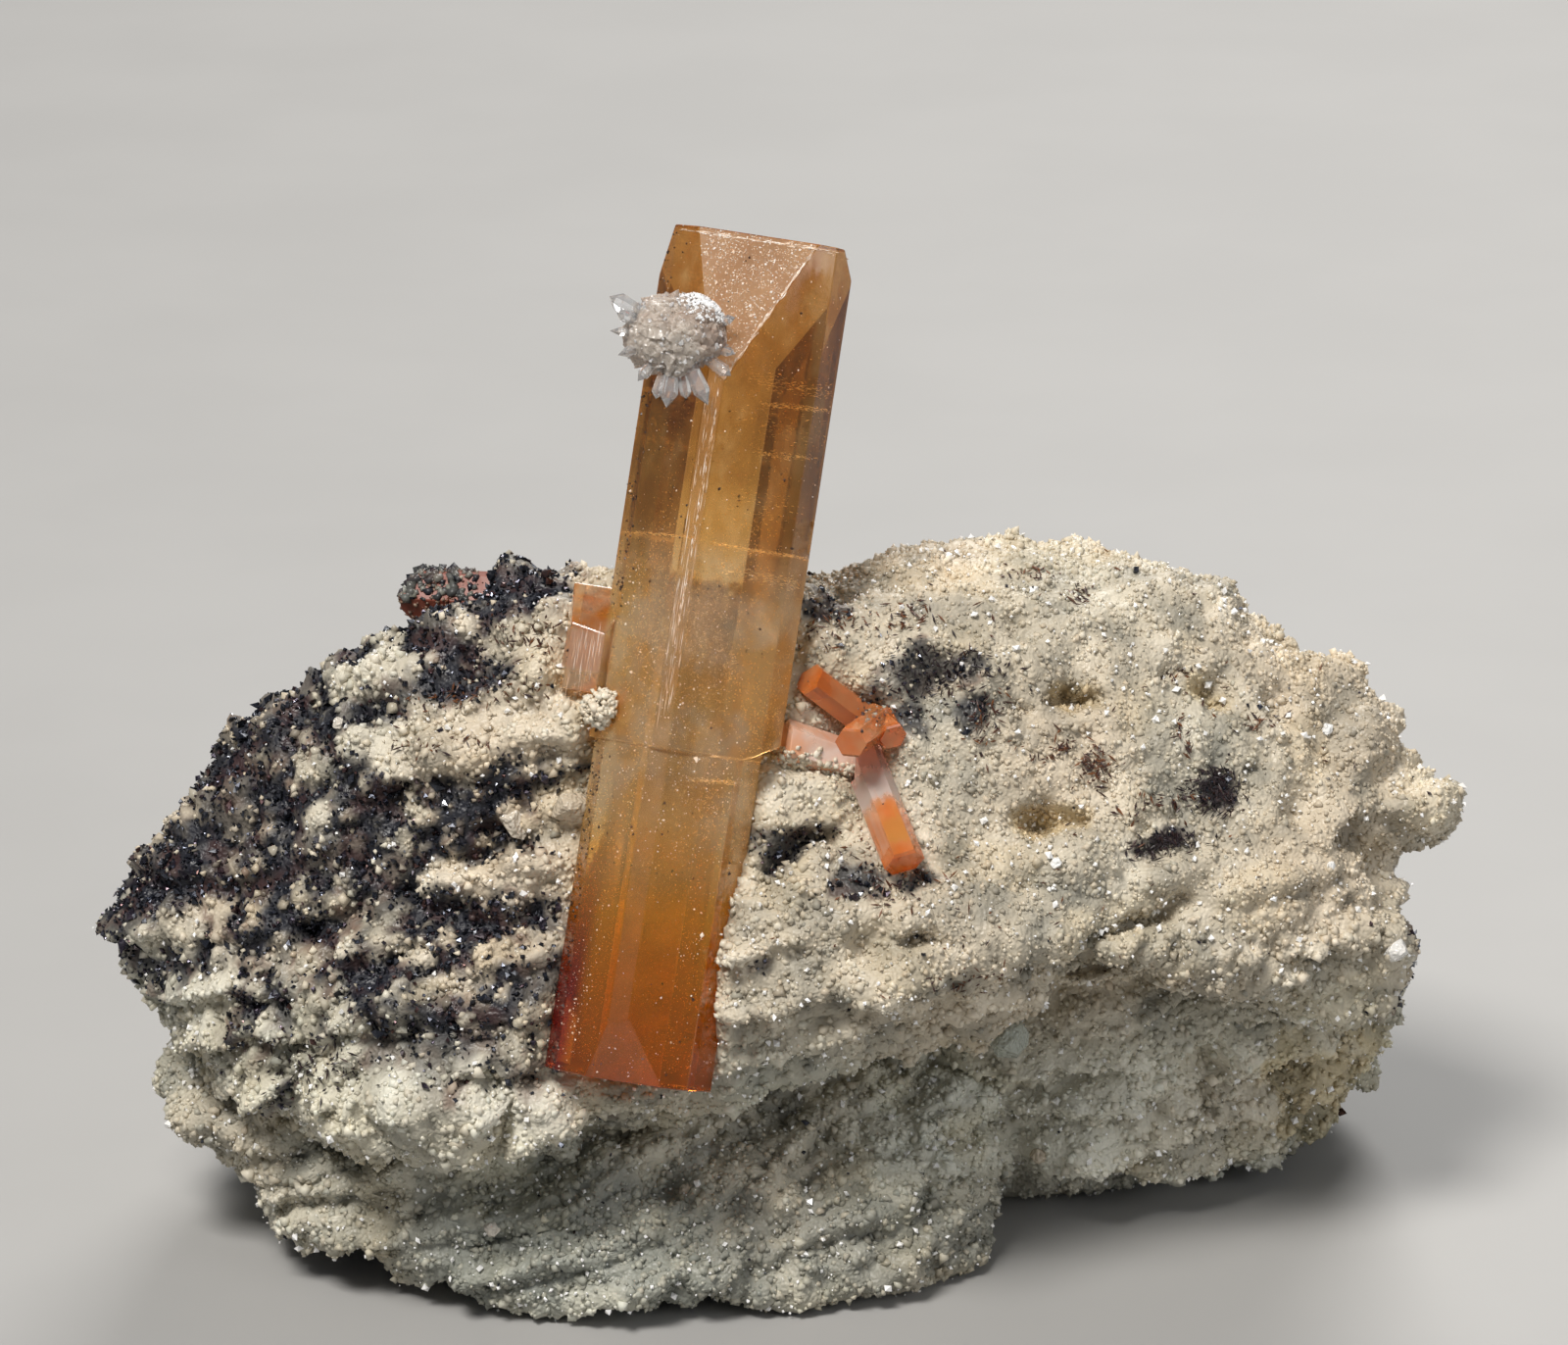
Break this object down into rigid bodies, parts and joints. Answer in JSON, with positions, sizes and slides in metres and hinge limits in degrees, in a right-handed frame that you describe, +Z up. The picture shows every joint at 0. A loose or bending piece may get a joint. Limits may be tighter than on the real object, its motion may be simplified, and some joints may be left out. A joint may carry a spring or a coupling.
{
  "type": "topaz crystal",
  "caption": "Natural topaz prism standing in a loose piece of pale rhyolite, with small orange topaz crystals and a ball of quartz points; a mineral specimen for display.",
  "frame": {"origin": "middle of the specimen's box, on the surface it stands on", "axes": "+Z up, +X to the right and +Y away from a viewer in front of the tall crystal"},
  "size_m": [0.0436, 0.026, 0.0352],
  "materials": {
    "rhyolite": "rough, sugary, with a blue-black oxide crust",
    "amber_topaz": "clear, amber to red-brown",
    "red_topaz": "dusty, reddish",
    "pink_topaz": "frosted, pink",
    "orange_topaz": "clear, orange",
    "quartz": "clear to frosted white"
  },
  "bodies": {
    "root": {"matrix": "rhyolite", "topaz_main": "amber_topaz", "topaz_back": "red_topaz", "topaz_plate": "pink_topaz", "topaz_spray": "orange_topaz", "quartz_druse": "quartz"}
  },
  "joints": []
}
